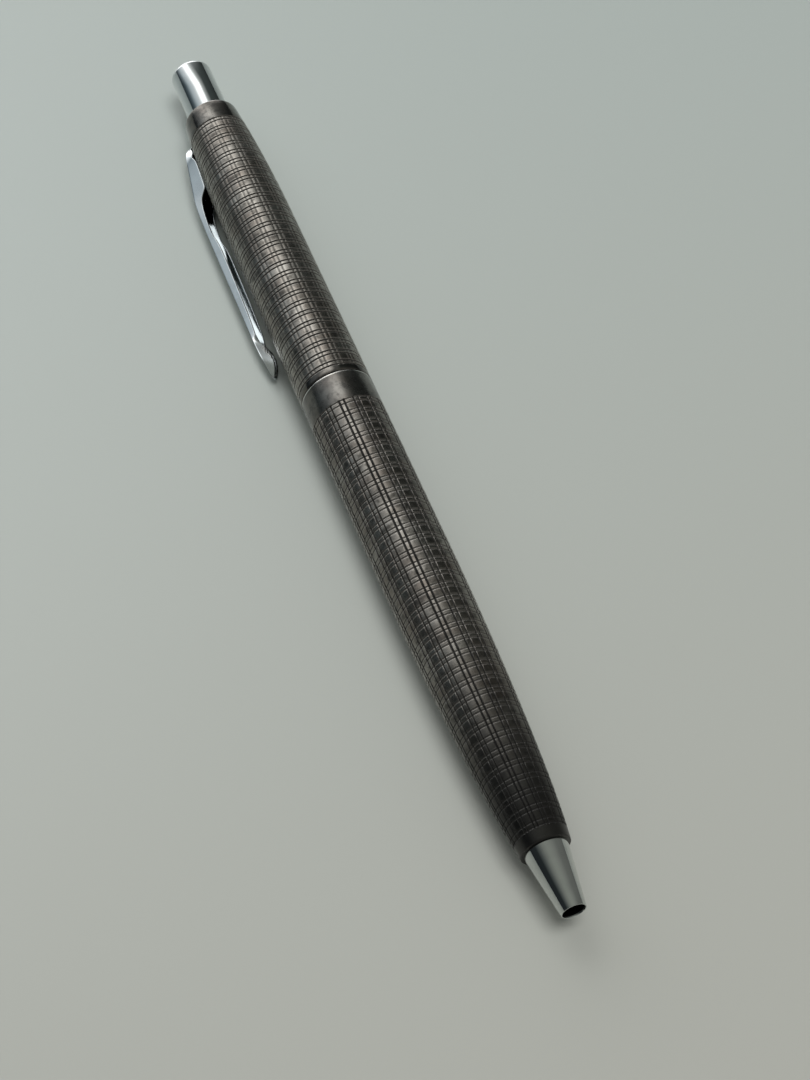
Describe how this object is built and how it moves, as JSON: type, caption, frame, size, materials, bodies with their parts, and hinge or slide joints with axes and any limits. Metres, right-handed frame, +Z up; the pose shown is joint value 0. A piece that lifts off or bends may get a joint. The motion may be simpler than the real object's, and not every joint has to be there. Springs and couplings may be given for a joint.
{
  "type": "push-button pen",
  "caption": "Slim retractable push-button pen with engraved metal barrels, a chrome button, a folded sheet pocket clip and a chrome nose cone.",
  "frame": {"origin": "bottom centre of the pen's box, on the surface that it lies on", "axes": "+X along the pen from the button to the nose, +Z up; the pocket clip is on the -Y side, rolled down until it touches the surface"},
  "size_m": [0.13, 0.0106, 0.0088],
  "materials": {
    "engraved_silver": "silver, engraved with a fine grid of double lines, tarnished warm grey-brown with black in the lines",
    "polished_chrome": "bright chrome plate, lightly handled",
    "bush_brass": "turned brass, satin",
    "liner_brass": "drawn brass tube, satin",
    "thread_brass": "turned brass with a cut thread",
    "mechanism_plastic": "moulded acetal, off-white",
    "plug_plastic": "moulded plastic, dark blue",
    "refill_steel": "drawn steel tube, satin nickel",
    "refill_brass": "turned brass",
    "point_steel": "turned stainless steel",
    "spring_steel": "coiled spring wire",
    "ball_carbide": "polished carbide",
    "ink": "ink paste, blue-black"
  },
  "bodies": {
    "barrel": {"upper_barrel": "engraved_silver", "guide_bush": "bush_brass", "upper_liner": "liner_brass", "cam_sleeve": "mechanism_plastic", "coupling_sleeve": "thread_brass"},
    "button": {"push_button": "polished_chrome", "plunger_cam": "mechanism_plastic"},
    "refill": {"index_rotor": "mechanism_plastic", "refill_end_plug": "plug_plastic", "refill_tube": "refill_steel", "ink_column": "ink", "refill_neck": "refill_brass", "point_holder": "point_steel"},
    "ball": {"writing_ball": "ball_carbide"},
    "clip": {"pocket_clip": "polished_chrome"},
    "spring": {"return_spring": "spring_steel"},
    "nose_section": {"lower_barrel": "engraved_silver", "thread_bush": "thread_brass", "nose_bush": "bush_brass", "nose_cone": "polished_chrome"}
  },
  "joints": [
    {"name": "button_press", "type": "slide", "parent": "barrel", "child": "button", "axis": [1, 0, 0], "range_m": [0, 0.006], "stiffness_N_per_m": 250, "springref_m": -0.003},
    {"name": "refill_advance", "type": "slide", "parent": "barrel", "child": "refill", "axis": [1, 0, 0], "range_m": [0, 0.006], "deforming": ["return_spring"]},
    {"name": "ball_roll", "type": "hinge", "parent": "refill", "child": "ball", "pos_m": [0.0626, 0.0009, 0.00443], "axis": [0, 1, 0], "continuous": true},
    {"name": "clip_flex", "type": "hinge", "parent": "barrel", "child": "clip", "pos_m": [-0.0523, -0.0021, 0.00262], "axis": [0, 0.5153, -0.857], "range_deg": [0, 5], "stiffness_Nm_per_rad": 0.6, "springref_deg": -2.86},
    {"name": "barrel_draw", "type": "slide", "parent": "barrel", "child": "spring", "axis": [1, 0, 0], "range_m": [0, 0.08]},
    {"name": "barrel_turn", "type": "hinge", "parent": "spring", "child": "nose_section", "pos_m": [0.025, 0.0009, 0.00443], "axis": [1, 0, 0], "continuous": true}
  ],
  "couplings": [
    {"joint": "refill_advance", "follows": "button_press", "ratio": 1}
  ]
}
